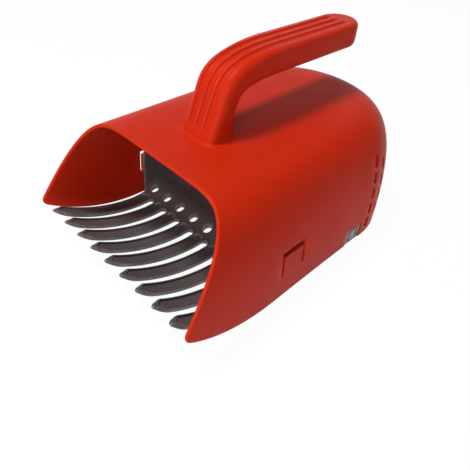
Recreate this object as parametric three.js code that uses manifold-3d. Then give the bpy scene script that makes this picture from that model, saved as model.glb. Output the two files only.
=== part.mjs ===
// A berry picking rake. An arched red hood with a cantilever handle sits over a grey comb tray.
// The comb combs the berries off the bush, they roll over its ramp and collect in the tray under
// the hood. Two tongues in the hood's sides and two in the tray's skirt snap the halves together,
// and the hood lifts off the tray for emptying and washing.
// Millimetres. +Z is up, the mouth faces -Y, and Z = 0 is the ground under the bottom rims.

import * as THREE from 'three';
import { mergeVertices } from 'three/addons/utils/BufferGeometryUtils.js';
import Module from 'manifold-3d';

const wasm = await Module();
wasm.setup();

// Comb

const TINE_COUNT = 9;
const TINE_PITCH = 15;
const TINE_WIDTH = 9.6;
const TINE_THICKNESS = 2.6;
const TINE_REACH = 72.4;
const TINE_ARC_RADIUS = 114;
const TINE_LOW = 3.5;
const TIP_SETBACK = 1.7;
const NOSE_LENGTH = 8.4;
const NOSE_TIP_WIDTH = 4;
const NOSE_BEVEL = 1.5;
const POCKET_DEPTH = 1;
const POCKET_RIM = 1.4;
const POCKET_SETBACK = 9.4;
const HOLE_RADIUS = 3.5;
const HOLE_FROM_SLOT = 7.5;

// Tray

const FLOOR_HEIGHT = 10;
const FLOOR_THICKNESS = 3;
const RAMP_LEAD = 5;
const RAMP_LENGTH = 23;
const ROOT_UNDERSIDE = 1.2;
const TRAY_WALL = 2;
const TRAY_REAR_HEIGHT = 17;
const EAR_ABOVE_CATCH = 3;
const EAR_SLOPE_LENGTH = 22;

// Hood

const HOOD_WALL = 2.4;
const HOOD_SIDE_CLEARANCE = 3.9;
const HOOD_FLARE = 3.7;
const HOOD_STRAIGHT_LENGTH = 168.1;
const HOOD_REAR_DEPTH = 60.7;
const HOOD_TOP = 82.8;
const HOOD_TOP_RISE = 0.011;
const SIDE_EXPONENT = 7.1;
const CROWN_EXPONENT = 2.26;
const CROWN_FLAT = 0.25;
const MOUTH_SETBACK = 40.1;
const MOUTH_LOW = 26.1;
const MOUTH_BEND_SETBACK = 31.3;
const MOUTH_BEND_HEIGHT = 71.6;
const MOUTH_CORNER = 5;
const BOTTOM_ARC_RADIUS = 114;

// Slots in the hood's rear

const VENT_COLUMNS = 17;
const VENT_ROWS = 5;
const VENT_WIDTH = 4.2;
const VENT_HEIGHT = 8.5;
const VENT_PITCH = 12.2;
const VENT_BOTTOM = 6.5;
const VENT_START_DEGREES = 3;

// Catches

const TAB_WIDTH = 17.7;
const TAB_HEIGHT = 14.5;
const TAB_BOTTOM = 19.4;
const TAB_FROM_FRONT = 86.8;
const LEG_SLIT = 1.8;
const BAR_SLIT = 3.6;
const NOTCH_WIDTH = 17;
const NOTCH_HEIGHT = 13.5;
const NOTCH_FROM_FRONT = 156.1;
const TONGUE_WIDTH = 6.6;
const TONGUE_SLIT = 1.7;
const TONGUE_THICKNESS = 2;
const TONGUE_BOTTOM = 2.4;
const TONGUE_SWING = 3;
const PAD_RECESS = 0.7;

// Handle

const HANDLE_WIDTH = 27;
const HANDLE_END_DEPTH = 15;
const HANDLE_TOP = 127.2;
const GRIP_THICKNESS = 15;
const GRIP_END_FROM_FRONT = 206.4;
const FOOT_FROM_FRONT = 68.8;
const FOOT_DEPTH = 21;
const FOOT_PLINTH = 3.7;
const POST_LEAN = 11.3;
const POST_HEIGHT = 27.7;
const SHOULDER_LENGTH = 47;
const HANDLE_EDGE = 2;
const GROOVE_COUNT = 3;
const GROOVE_PITCH = 8.2;
const GROOVE_WIDTH = 2.6;
const GROOVE_DEPTH = 1.2;

// Clearances

const RUNNING_GAP = 0.5;
const SEAT_GAP = 0.3;
const HINGE_GAP = 0.4;

// Facets

const ARC_STEPS = 9;
const REAR_STEPS = 24;
const CROWN_STEPS = 18;
const FLARE_STEPS = 4;

// Places that follow from the sizes

const COMB_WIDTH = (TINE_COUNT - 1) * TINE_PITCH + TINE_WIDTH;
const HOOD_HALF = COMB_WIDTH / 2 + HOOD_SIDE_CLEARANCE + HOOD_WALL;
const HOOD_LENGTH = HOOD_STRAIGHT_LENGTH + HOOD_REAR_DEPTH;
const BOTTOM_TANGENT = Math.sqrt(BOTTOM_ARC_RADIUS ** 2 - (BOTTOM_ARC_RADIUS - MOUTH_LOW) ** 2);
const BOTTOM_SWEEP = Math.acos(1 - MOUTH_LOW / BOTTOM_ARC_RADIUS) - MOUTH_CORNER / BOTTOM_ARC_RADIUS;
const CORNER_UNDER = BOTTOM_TANGENT - BOTTOM_ARC_RADIUS * Math.sin(BOTTOM_SWEEP);
const CORNER_OVER = MOUTH_CORNER * MOUTH_BEND_SETBACK / Math.hypot(MOUTH_BEND_SETBACK, MOUTH_BEND_HEIGHT - MOUTH_LOW);
const CORNER_CUT = CORNER_UNDER * CORNER_OVER / (CORNER_UNDER + CORNER_OVER);
const FRONT = -(HOOD_LENGTH + CORNER_CUT) / 2;
const SEAM = FRONT + HOOD_STRAIGHT_LENGTH;
const TIP_Y = FRONT + TIP_SETBACK;
const SLOT_END_Y = TIP_Y + TINE_REACH;
const RAMP_Y = SLOT_END_Y - RAMP_LEAD;
const RAMP_END_Y = RAMP_Y + RAMP_LENGTH;
const HOLE_Y = SLOT_END_Y + HOLE_FROM_SLOT;
const WALL_FRONT_Y = HOLE_Y - HOLE_RADIUS;
const ARC_CENTRE_Z = TINE_LOW + TINE_ARC_RADIUS;
const TIP_ANGLE = Math.asin(TINE_REACH / TINE_ARC_RADIUS);
const RAMP_ANGLE = Math.asin(RAMP_LEAD / TINE_ARC_RADIUS);
const TAB_Y = FRONT + TAB_FROM_FRONT;
const NOTCH_Y = FRONT + NOTCH_FROM_FRONT;
const TAB_TOP = TAB_BOTTOM + TAB_HEIGHT;
const EAR_TOP = TAB_TOP + BAR_SLIT + EAR_ABOVE_CATCH;
const FAR = 300;

const RED = new THREE.MeshStandardMaterial({ color: 0xc8321e, roughness: 0.42, metalness: 0 });
const GREY = new THREE.MeshStandardMaterial({ color: 0x4d4549, roughness: 0.5, metalness: 0 });

// Turns a closed geometry into a solid that can be joined and cut.
function solid(geometry) {
  const bare = geometry.clone();
  bare.deleteAttribute('normal');
  bare.deleteAttribute('uv');
  const merged = mergeVertices(bare);
  return new wasm.Manifold(new wasm.Mesh({
    numProp: 3,
    vertProperties: merged.attributes.position.array,
    triVerts: Uint32Array.from(merged.index.array),
  }));
}

// Turns a solid back into a geometry.
function geometryOf(body) {
  const mesh = body.getMesh();
  const geometry = new THREE.BufferGeometry();
  geometry.setAttribute('position', new THREE.BufferAttribute(mesh.vertProperties, 3));
  geometry.setIndex(new THREE.BufferAttribute(mesh.triVerts, 1));
  geometry.computeVertexNormals();
  return geometry;
}

// A shape drawn in side view, (Y, Z), swept across X.
function acrossX(shape, x0, x1, curveSegments = 24) {
  const geometry = new THREE.ExtrudeGeometry(shape, { depth: x1 - x0, bevelEnabled: false, curveSegments });
  geometry.applyMatrix4(new THREE.Matrix4().makeBasis(
    new THREE.Vector3(0, 1, 0), new THREE.Vector3(0, 0, 1), new THREE.Vector3(1, 0, 0)));
  geometry.translate(x0, 0, 0);
  return solid(geometry);
}

// A shape drawn in plan view, (X, Y), raised along Z.
function upward(shape, z0, z1, curveSegments = 8) {
  const geometry = new THREE.ExtrudeGeometry(shape, { depth: z1 - z0, bevelEnabled: false, curveSegments });
  geometry.translate(0, 0, z0);
  return solid(geometry);
}

function block(x0, x1, y0, y1, z0, z1) {
  const geometry = new THREE.BoxGeometry(x1 - x0, y1 - y0, z1 - z0);
  geometry.translate((x0 + x1) / 2, (y0 + y1) / 2, (z0 + z1) / 2);
  return solid(geometry);
}

// Picks points along a fine line so that steps of length and of turning are shared out evenly.
function spaceEvenly(points, count) {
  const stepLength = [];
  const stepTurn = [];
  for (let i = 1; i < points.length; i++) {
    stepLength.push(points[i].distanceTo(points[i - 1]));
    const before = points[i].clone().sub(points[i - 1]);
    const after = points[Math.min(i + 1, points.length - 1)].clone().sub(points[i]);
    stepTurn.push(after.length() > 0 ? Math.abs(before.cross(after)) / (before.length() * after.length()) : 0);
  }
  const sum = (list) => list.reduce((a, b) => a + b, 0);
  const length = sum(stepLength);
  const turn = sum(stepTurn);
  const picked = [points[0]];
  let reach = 0;
  for (let i = 1; i < points.length; i++) {
    reach += (stepLength[i - 1] / length + 2 * stepTurn[i - 1] / turn) / 3;
    if (reach >= picked.length / count - 1e-6 || i === points.length - 1) picked.push(points[i]);
  }
  return picked;
}

// The hood's arch in its own unit size: its height over a place across, its reach across at a height.
const archHeight = (rho) => (1 - rho ** SIDE_EXPONENT) ** (1 / CROWN_EXPONENT);
const archReach = (zeta) => (1 - zeta ** CROWN_EXPONENT) ** (1 / SIDE_EXPONENT);

// Half of the hood's arch in its own unit size: X runs from 1 at the side to the flat of the crown.
function crownSection(count) {
  const fine = [];
  const shoulder = new THREE.Vector2(0.5 ** (1 / SIDE_EXPONENT), 0.5 ** (1 / CROWN_EXPONENT));
  for (let i = 0; i <= 200; i++) {
    const zeta = (shoulder.y * i) / 200;
    fine.push(new THREE.Vector2(archReach(zeta), zeta));
  }
  for (let i = 1; i <= 200; i++) {
    const rho = shoulder.x + ((CROWN_FLAT - shoulder.x) * i) / 200;
    fine.push(new THREE.Vector2(rho, archHeight(rho)));
  }
  return spaceEvenly(fine, count);
}

// Skins a stack of rings with equal point counts, each the same on its left and right, and closes both
// ends with strips from side to side.
function skin(rings) {
  const n = rings[0].length;
  const positions = rings.flat().flatMap((p) => [p.x, p.y, p.z]);
  const index = [];
  for (let k = 0; k + 1 < rings.length; k++) {
    for (let i = 0; i < n; i++) {
      const j = (i + 1) % n;
      const a = k * n + i;
      const b = k * n + j;
      index.push(a, b, b + n, a, b + n, a + n);
    }
  }
  const last = (rings.length - 1) * n;
  for (let a = 0; a + 1 < n - 1 - a; a++) {
    const b = a + 1;
    const c = n - 2 - a;
    const d = n - 1 - a;
    index.push(a, d, b, last + a, last + b, last + d);
    if (c > b) index.push(d, c, b, last + b, last + c, last + d);
  }
  const geometry = new THREE.BufferGeometry();
  geometry.setAttribute('position', new THREE.Float32BufferAttribute(positions, 3));
  geometry.setIndex(index);
  return geometry;
}

const topAt = (y) => HOOD_TOP + HOOD_TOP_RISE * (y - FRONT - MOUTH_SETBACK);

// How much wider each side of the hood stands towards the mouth than at the rear.
const flareAt = (y) => HOOD_FLARE * ((SEAM - y) / HOOD_STRAIGHT_LENGTH) ** 2;

// The space under the hood's outer surface, drawn in by inset: flared sides and a half-oval rear.
// foot is how far the sides run down below the ground.
function hoodForm(inset, front, foot = 0) {
  const half = HOOD_HALF - inset;
  const rear = HOOD_REAR_DEPTH - inset;
  const ring = (rho, zeta, drop) => {
    const points = [];
    const add = (x, y) => points.push(new THREE.Vector3(x, y, (topAt(y) - inset) * zeta - drop));
    const addSide = (side, share) => {
      const y = front + (SEAM - front) * share;
      add(side * (half + flareAt(y)) * rho, y);
    };
    for (let i = 0; i < FLARE_STEPS; i++) addSide(1, i / FLARE_STEPS);
    for (let i = 0; i <= REAR_STEPS; i++) {
      const angle = (Math.PI * i) / REAR_STEPS;
      add(half * rho * Math.cos(angle), SEAM + rear * rho * Math.sin(angle));
    }
    for (let i = FLARE_STEPS - 1; i >= 0; i--) addSide(-1, i / FLARE_STEPS);
    return points;
  };
  const rings = crownSection(CROWN_STEPS).map((p) => ring(p.x, p.y, 0));
  if (foot > 0) rings.unshift(ring(1, 0, foot));
  return solid(skin(rings));
}

// Side view of what is left of the hood: the raked mouth, the sled curve of its bottom edge.
function hoodSideShape() {
  const tangentY = FRONT + BOTTOM_TANGENT;
  const down = -Math.PI / 2;
  const shape = new THREE.Shape();
  shape.moveTo(tangentY, -1);
  shape.lineTo(tangentY, 0);
  shape.absarc(tangentY, BOTTOM_ARC_RADIUS, BOTTOM_ARC_RADIUS, down, down - BOTTOM_SWEEP, true);
  const bend = new THREE.Vector2(FRONT + MOUTH_BEND_SETBACK, MOUTH_BEND_HEIGHT);
  const corner = new THREE.Vector2(FRONT, MOUTH_LOW);
  const start = bend.clone().sub(corner).setLength(MOUTH_CORNER).add(corner);
  shape.quadraticCurveTo(corner.x, corner.y, start.x, start.y);
  const crown = new THREE.Vector2(FRONT + MOUTH_SETBACK, HOOD_TOP);
  const past = crown.clone().sub(bend).multiplyScalar(1.1).add(bend);
  shape.quadraticCurveTo(bend.x, bend.y, past.x, past.y);
  shape.lineTo(past.x, FAR);
  shape.lineTo(FAR, FAR);
  shape.lineTo(FAR, -1);
  shape.closePath();
  return shape;
}

const hoodOuter = hoodForm(0, FRONT - 3);
const hoodHollow = hoodForm(HOOD_WALL, FRONT - 6, 3);
const hoodWall = hoodOuter.subtract(hoodHollow);

// The upright slots through the hood's rounded rear, staggered from column to column.
function ventCutters() {
  const start = THREE.MathUtils.degToRad(VENT_START_DEGREES);
  const half = HOOD_HALF - HOOD_WALL / 2;
  const rear = HOOD_REAR_DEPTH - HOOD_WALL / 2;
  const cutters = [];
  for (let i = 0; i < VENT_COLUMNS; i++) {
    const angle = start + ((Math.PI - 2 * start) * i) / (VENT_COLUMNS - 1);
    const outward = Math.atan2(half * Math.sin(angle), rear * Math.cos(angle));
    const odd = i % 2;
    for (let k = 0; k < VENT_ROWS - odd; k++) {
      const z = VENT_BOTTOM + VENT_HEIGHT / 2 + (k + odd / 2) * VENT_PITCH;
      const rho = archReach(z / HOOD_TOP);
      const geometry = new THREE.BoxGeometry(6 * HOOD_WALL, VENT_WIDTH, VENT_HEIGHT);
      geometry.rotateZ(outward);
      geometry.translate(half * rho * Math.cos(angle), SEAM + rear * rho * Math.sin(angle), z);
      cutters.push(solid(geometry));
    }
  }
  return cutters;
}

function hoodShell() {
  let body = hoodWall.intersect(acrossX(hoodSideShape(), -FAR, FAR, 28));
  for (const cutter of ventCutters()) body = body.subtract(cutter);
  for (const side of [-1, 1]) {
    const xs = [side * HOOD_HALF * 0.8, side * HOOD_HALF * 1.2].sort((a, b) => a - b);
    body = body.subtract(block(...xs, TAB_Y - TAB_WIDTH / 2 - LEG_SLIT, TAB_Y + TAB_WIDTH / 2 + LEG_SLIT,
      TAB_BOTTOM - HINGE_GAP, TAB_TOP + BAR_SLIT));
    body = body.subtract(block(...xs, NOTCH_Y - NOTCH_WIDTH / 2, NOTCH_Y + NOTCH_WIDTH / 2, -1, NOTCH_HEIGHT));
  }
  return body;
}

// A tongue left standing in the hood's side by a three-sided slit, hinged along its bottom edge.
function hoodTab(side) {
  const xs = [side * HOOD_HALF * 0.8, side * HOOD_HALF * 1.2].sort((a, b) => a - b);
  return hoodWall.intersect(block(...xs, TAB_Y - TAB_WIDTH / 2, TAB_Y + TAB_WIDTH / 2, TAB_BOTTOM, TAB_TOP));
}

// Side view of the comb and the tray floor: the rising arc of the tines, the ramp and the flat floor.
function floorSideShape() {
  const down = -Math.PI / 2;
  const floorUnder = FLOOR_HEIGHT - FLOOR_THICKNESS;
  const underRadius = TINE_ARC_RADIUS + TINE_THICKNESS;
  const rampFoot = ARC_CENTRE_Z - TINE_ARC_RADIUS * Math.cos(RAMP_ANGLE);
  const shape = new THREE.Shape();
  shape.absarc(SLOT_END_Y, ARC_CENTRE_Z, TINE_ARC_RADIUS, down - TIP_ANGLE, down - RAMP_ANGLE, false);
  shape.bezierCurveTo(RAMP_Y + RAMP_LENGTH * 0.45, rampFoot, RAMP_Y + RAMP_LENGTH * 0.55, FLOOR_HEIGHT,
    RAMP_END_Y, FLOOR_HEIGHT);
  shape.lineTo(FAR, FLOOR_HEIGHT);
  shape.lineTo(FAR, floorUnder);
  shape.lineTo(RAMP_END_Y + FLOOR_THICKNESS, floorUnder);
  shape.lineTo(RAMP_END_Y - FLOOR_THICKNESS, ROOT_UNDERSIDE);
  shape.lineTo(RAMP_Y, ROOT_UNDERSIDE);
  shape.absarc(SLOT_END_Y, ARC_CENTRE_Z, underRadius, down - RAMP_ANGLE, down - TIP_ANGLE, true);
  shape.closePath();
  return shape;
}

const tineX = (i) => (i - (TINE_COUNT - 1) / 2) * TINE_PITCH;

// Plan view of the comb: pencil-nosed tines with round-ended slots between them, then the floor plate.
function combPlanShape() {
  const half = TINE_WIDTH / 2;
  const tip = NOSE_TIP_WIDTH / 2;
  const shape = new THREE.Shape();
  shape.moveTo(-FAR, FAR);
  shape.lineTo(-FAR, WALL_FRONT_Y);
  shape.lineTo(-COMB_WIDTH / 2, WALL_FRONT_Y);
  for (let i = 0; i < TINE_COUNT; i++) {
    const x = tineX(i);
    const swell = TIP_Y + NOSE_LENGTH * 0.45;
    shape.lineTo(x - half, TIP_Y + NOSE_LENGTH);
    shape.quadraticCurveTo(x - half, swell, x - tip, TIP_Y + tip * 0.6);
    shape.quadraticCurveTo(x, TIP_Y - tip * 0.6, x + tip, TIP_Y + tip * 0.6);
    shape.quadraticCurveTo(x + half, swell, x + half, TIP_Y + NOSE_LENGTH);
    if (i < TINE_COUNT - 1) {
      const gap = (TINE_PITCH - TINE_WIDTH) / 2;
      shape.absarc(x + half + gap, SLOT_END_Y - gap, gap, Math.PI, 0, true);
    }
  }
  shape.lineTo(COMB_WIDTH / 2, WALL_FRONT_Y);
  shape.lineTo(FAR, WALL_FRONT_Y);
  shape.lineTo(FAR, FAR);
  shape.closePath();
  return shape;
}

// A round-ended strip in plan, from y0 to y1 over its ends.
function stripShape(x, y0, y1, width) {
  const r = width / 2;
  const shape = new THREE.Shape();
  shape.absarc(x, y0 + r, r, Math.PI, 2 * Math.PI, false);
  shape.absarc(x, y1 - r, r, 0, Math.PI, false);
  shape.closePath();
  return shape;
}

// The shallow pockets in the tines' upper faces, as one cutter that follows the arc.
function pocketCutter() {
  const strips = [];
  for (let i = 0; i < TINE_COUNT; i++) {
    const width = TINE_WIDTH - 2 * POCKET_RIM;
    strips.push(stripShape(tineX(i), TIP_Y + POCKET_SETBACK, SLOT_END_Y + POCKET_DEPTH, width));
  }
  const down = -Math.PI / 2;
  const radius = TINE_ARC_RADIUS + POCKET_DEPTH;
  const end = SLOT_END_Y + 2 * POCKET_DEPTH;
  const band = new THREE.Shape();
  band.absarc(SLOT_END_Y, ARC_CENTRE_Z, radius, down - TIP_ANGLE, down - RAMP_ANGLE, false);
  band.lineTo(end, ARC_CENTRE_Z - radius);
  band.lineTo(end, ARC_CENTRE_Z);
  band.lineTo(TIP_Y, ARC_CENTRE_Z);
  band.closePath();
  return upward(strips, 0, ARC_CENTRE_Z, 4).intersect(acrossX(band, -FAR, FAR, ARC_STEPS));
}

// Wedge that bevels the noses' upper faces down towards their points.
function noseBevelShape() {
  const above = (angle, lift) => new THREE.Vector2(
    SLOT_END_Y - (TINE_ARC_RADIUS - lift) * Math.sin(angle),
    ARC_CENTRE_Z - (TINE_ARC_RADIUS - lift) * Math.cos(angle));
  const noseAngle = TIP_ANGLE - NOSE_LENGTH / TINE_ARC_RADIUS / Math.cos(TIP_ANGLE);
  const root = above(noseAngle, 0);
  const tip = above(TIP_ANGLE, -NOSE_BEVEL);
  const past = tip.clone().sub(root).multiplyScalar(1.5).add(root);
  return new THREE.Shape([root, past, above(TIP_ANGLE, 20), above(noseAngle, 20)]);
}

// Side view of the tray's wall: tall ears at the front behind the catches, low at the rear.
function wallSideShape() {
  const earEnd = TAB_Y + TAB_WIDTH / 2 + LEG_SLIT;
  const shape = new THREE.Shape();
  shape.moveTo(WALL_FRONT_Y, -1);
  shape.lineTo(WALL_FRONT_Y, EAR_TOP - 4);
  shape.quadraticCurveTo(WALL_FRONT_Y, EAR_TOP, WALL_FRONT_Y + 4, EAR_TOP);
  shape.lineTo(earEnd, EAR_TOP);
  shape.bezierCurveTo(earEnd + EAR_SLOPE_LENGTH / 2, EAR_TOP, earEnd + EAR_SLOPE_LENGTH / 2, TRAY_REAR_HEIGHT,
    earEnd + EAR_SLOPE_LENGTH, TRAY_REAR_HEIGHT);
  shape.lineTo(FAR, TRAY_REAR_HEIGHT);
  shape.lineTo(FAR, -1);
  shape.closePath();
  return shape;
}

const trayInset = HOOD_WALL + RUNNING_GAP;
const padFace = HOOD_HALF - PAD_RECESS;
const padTop = NOTCH_HEIGHT - SEAT_GAP;

function combTray() {
  const trayForm = hoodForm(trayInset, FRONT - 6);
  const trayHollow = hoodForm(trayInset + TRAY_WALL, FRONT - 9, 3);
  const comb = acrossX(floorSideShape(), -FAR, FAR, ARC_STEPS).intersect(upward(combPlanShape(), 0, FAR, 3));
  const wall = trayForm.subtract(trayHollow).intersect(acrossX(wallSideShape(), -FAR, FAR, 8));
  const holes = [];
  for (let i = 0; i < TINE_COUNT; i++) {
    const hole = new THREE.Shape();
    hole.absarc(tineX(i), HOLE_Y, HOLE_RADIUS, 0, 2 * Math.PI, false);
    holes.push(hole);
  }
  let body = comb.subtract(pocketCutter()).subtract(acrossX(noseBevelShape(), -FAR, FAR));
  body = body.subtract(upward(holes, -1, FLOOR_HEIGHT + 5, 10)).intersect(trayForm).add(wall);
  for (const side of [-1, 1]) {
    const span = (a, b) => [side * a, side * b].sort((p, q) => p - q);
    const padBack = HOOD_HALF - trayInset - TRAY_WALL / 2;
    const padHalf = NOTCH_WIDTH / 2 - RUNNING_GAP;
    const slotHalf = TONGUE_WIDTH / 2 + TONGUE_SLIT;
    const slotBack = padFace - TONGUE_THICKNESS - TONGUE_SWING;
    body = body.add(block(...span(padBack, padFace), NOTCH_Y - padHalf, NOTCH_Y + padHalf, 0, padTop));
    body = body.subtract(block(...span(slotBack, HOOD_HALF), NOTCH_Y - slotHalf, NOTCH_Y + slotHalf,
      TONGUE_BOTTOM - HINGE_GAP, padTop + 1));
  }
  return body;
}

// A tongue standing in the tray's pad, free at the top, that clips into the notch in the hood's rim.
function trayTongue(side) {
  const xs = [side * (padFace - TONGUE_THICKNESS), side * padFace].sort((a, b) => a - b);
  return block(...xs, NOTCH_Y - TONGUE_WIDTH / 2, NOTCH_Y + TONGUE_WIDTH / 2, TONGUE_BOTTOM, padTop - TONGUE_SLIT);
}

// Side view of the handle: the leaning post, the shoulder and the grip. Drawn in by inset.
function handleSideShape(inset) {
  const footTop = topAt(FRONT + FOOT_FROM_FRONT);
  const front = FRONT + FOOT_FROM_FRONT + inset;
  const back = FRONT + FOOT_FROM_FRONT + FOOT_DEPTH - inset;
  const end = FRONT + GRIP_END_FROM_FRONT - inset;
  const top = HANDLE_TOP - inset;
  const under = HANDLE_TOP - GRIP_THICKNESS + inset;
  const bendZ = footTop + POST_HEIGHT - inset * 0.4;
  const low = footTop - 20;
  const shape = new THREE.Shape();
  shape.moveTo(front, low);
  shape.lineTo(front, footTop + FOOT_PLINTH);
  shape.lineTo(front + POST_LEAN, bendZ);
  shape.bezierCurveTo(front + POST_LEAN + 5, bendZ + 11.3, front + POST_LEAN + 17, top - 0.5,
    front + POST_LEAN + SHOULDER_LENGTH, top);
  shape.lineTo(end, top);
  shape.lineTo(end, under + 6);
  shape.quadraticCurveTo(end, under, end - 6, under);
  shape.lineTo(back + 15, under);
  shape.bezierCurveTo(back + 3, under, back - 3, under - 10, back - 1.5, footTop + FOOT_PLINTH);
  shape.lineTo(back, footTop - 1);
  shape.lineTo(back, low);
  shape.closePath();
  return shape;
}

// The cut that makes the grip's rear end round in plan.
function handlePlanShape() {
  const end = FRONT + GRIP_END_FROM_FRONT;
  const half = HANDLE_WIDTH / 2;
  const shape = new THREE.Shape();
  shape.moveTo(-half, FRONT);
  shape.lineTo(half, FRONT);
  shape.lineTo(half, end - HANDLE_END_DEPTH);
  shape.absellipse(0, end - HANDLE_END_DEPTH, half, HANDLE_END_DEPTH, 0, Math.PI, false, 0);
  shape.closePath();
  return shape;
}

function handle() {
  const profile = handleSideShape(HANDLE_EDGE);
  const core = HANDLE_WIDTH - 2 * HANDLE_EDGE;
  const rounded = new THREE.ExtrudeGeometry(profile, {
    depth: core,
    bevelEnabled: true,
    bevelThickness: HANDLE_EDGE,
    bevelSize: HANDLE_EDGE,
    bevelSegments: 3,
    curveSegments: 16,
  });
  rounded.applyMatrix4(new THREE.Matrix4().makeBasis(
    new THREE.Vector3(0, 1, 0), new THREE.Vector3(0, 0, 1), new THREE.Vector3(1, 0, 0)));
  rounded.translate(-core / 2, 0, 0);
  let body = solid(rounded).intersect(upward(handlePlanShape(), 0, FAR, 16));
  const grooves = [];
  for (let i = 0; i < GROOVE_COUNT; i++) {
    const x = (i - (GROOVE_COUNT - 1) / 2) * GROOVE_PITCH;
    const outside = acrossX(handleSideShape(-5), x - GROOVE_WIDTH / 2, x + GROOVE_WIDTH / 2, 16);
    const inside = acrossX(handleSideShape(GROOVE_DEPTH), x - GROOVE_WIDTH, x + GROOVE_WIDTH, 16);
    grooves.push(outside.subtract(inside));
  }
  const grooveZone = acrossX(grooveZoneShape(), -FAR, FAR);
  for (const groove of grooves) body = body.subtract(groove.intersect(grooveZone));
  return body.subtract(hoodForm(-SEAT_GAP, FRONT - 3, 3));
}

// Side view of where the grooves run: up the front of the post and along the top of the grip.
function grooveZoneShape() {
  const low = topAt(FRONT + FOOT_FROM_FRONT) + FOOT_PLINTH;
  const shape = new THREE.Shape();
  shape.moveTo(FRONT + FOOT_FROM_FRONT - 9, low);
  shape.lineTo(FRONT + FOOT_FROM_FRONT + 9, low);
  shape.lineTo(FRONT + FOOT_FROM_FRONT + 24, HANDLE_TOP - GRIP_THICKNESS / 2);
  shape.lineTo(FRONT + GRIP_END_FROM_FRONT - HANDLE_END_DEPTH, HANDLE_TOP - GRIP_THICKNESS / 2);
  shape.lineTo(FRONT + GRIP_END_FROM_FRONT - HANDLE_END_DEPTH, FAR);
  shape.lineTo(FRONT + FOOT_FROM_FRONT - 9, FAR);
  shape.closePath();
  return shape;
}

const rake = new THREE.Group();

function place(name, body, material) {
  const mesh = new THREE.Mesh(geometryOf(body), material);
  mesh.name = name;
  rake.add(mesh);
}

place('hood_shell', hoodShell(), RED);
place('handle', handle(), RED);
place('hood_tab_right', hoodTab(1), RED);
place('hood_tab_left', hoodTab(-1), RED);
place('comb_tray', combTray(), GREY);
place('tray_tongue_right', trayTongue(1), GREY);
place('tray_tongue_left', trayTongue(-1), GREY);

export default rake;
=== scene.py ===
"""A berry picking rake: red arched hood with its handle, dark grey comb tray, four snap tongues."""

import math

import bmesh
import bpy
import numpy as np
from mathutils import Matrix, Vector


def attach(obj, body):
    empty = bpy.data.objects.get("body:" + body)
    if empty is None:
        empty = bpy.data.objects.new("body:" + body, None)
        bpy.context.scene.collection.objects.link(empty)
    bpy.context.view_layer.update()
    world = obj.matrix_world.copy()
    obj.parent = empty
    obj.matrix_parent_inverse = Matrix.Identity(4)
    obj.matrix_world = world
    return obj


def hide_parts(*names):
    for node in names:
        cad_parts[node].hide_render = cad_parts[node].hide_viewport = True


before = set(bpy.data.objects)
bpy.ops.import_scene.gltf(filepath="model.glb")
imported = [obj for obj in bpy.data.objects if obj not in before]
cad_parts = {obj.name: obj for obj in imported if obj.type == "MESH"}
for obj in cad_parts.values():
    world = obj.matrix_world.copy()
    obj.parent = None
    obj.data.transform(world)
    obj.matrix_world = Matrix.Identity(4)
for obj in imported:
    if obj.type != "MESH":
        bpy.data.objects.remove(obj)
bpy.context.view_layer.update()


# Camera, lamps and floor
# A studio shot from the front right and above, on white paper, with one soft lamp nearly overhead
# that throws the grip's shadow on the hood. The camera's lens and place were fitted to the even
# pitch of the comb and to the level bottom rims.

camera_data = bpy.data.cameras.new("camera")
camera_data.sensor_width = 36.0
camera_data.lens = 36.146
camera_data.clip_start = 0.01
camera = bpy.data.objects.new("camera", camera_data)
camera.matrix_world = Matrix((
    (0.69434582, -0.51467418, 0.50298546, 0.18131),
    (0.71680093, 0.43258347, -0.54687107, -0.2019),
    (0.06387722, 0.74025809, 0.66928145, 0.22494),
    (0.0, 0.0, 0.0, 1.0),
))
bpy.context.scene.collection.objects.link(camera)
bpy.context.scene.camera = camera
bpy.context.scene.view_settings.view_transform = "Standard"


def add_softbox(name, place, aim, size, watts):
    """A rectangular studio lamp that points from place to aim."""
    data = bpy.data.lights.new(name, "AREA")
    data.shape = "RECTANGLE"
    data.size, data.size_y = size
    data.energy = watts
    lamp = bpy.data.objects.new(name, data)
    lamp.location = place
    direction = Vector(aim) - Vector(place)
    lamp.rotation_euler = direction.to_track_quat("-Z", "Y").to_euler()
    bpy.context.scene.collection.objects.link(lamp)


add_softbox("key_lamp", place=(-0.22, -0.26, 0.95), aim=(0.0, 0.0, 0.05), size=(0.24, 0.24), watts=6.5)
add_softbox("fill_lamp", place=(0.34, -0.85, 0.40), aim=(0.0, -0.02, 0.05), size=(0.7, 0.5), watts=4.8)
add_softbox("side_lamp", place=(0.9, 0.35, 0.25), aim=(0.0, 0.0, 0.04), size=(0.7, 0.5), watts=0.2)


def fill(tree, socket, value):
    """Gives an input its plain value, or links it to another node's output."""
    if isinstance(value, bpy.types.NodeSocket):
        tree.links.new(value, socket)
    else:
        socket.default_value = value


def add_node(tree, kind, **values):
    """A shader node with its named inputs filled."""
    node = tree.nodes.new(kind)
    for label, value in values.items():
        fill(tree, node.inputs[label.replace("_", " ")], value)
    return node


def math_node(tree, operation, first, second, clamp=False):
    """The result of a Math node on two sockets or plain numbers."""
    node = tree.nodes.new("ShaderNodeMath")
    node.operation = operation
    node.use_clamp = clamp
    fill(tree, node.inputs[0], first)
    fill(tree, node.inputs[1], second)
    return node.outputs["Value"]


def mix_shaders(tree, factor, first, second):
    """The first shader where the factor is 0, and the second where it is 1."""
    node = add_node(tree, "ShaderNodeMixShader", Fac=factor)
    tree.links.new(first, node.inputs[1])
    tree.links.new(second, node.inputs[2])
    return node.outputs["Shader"]


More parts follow.
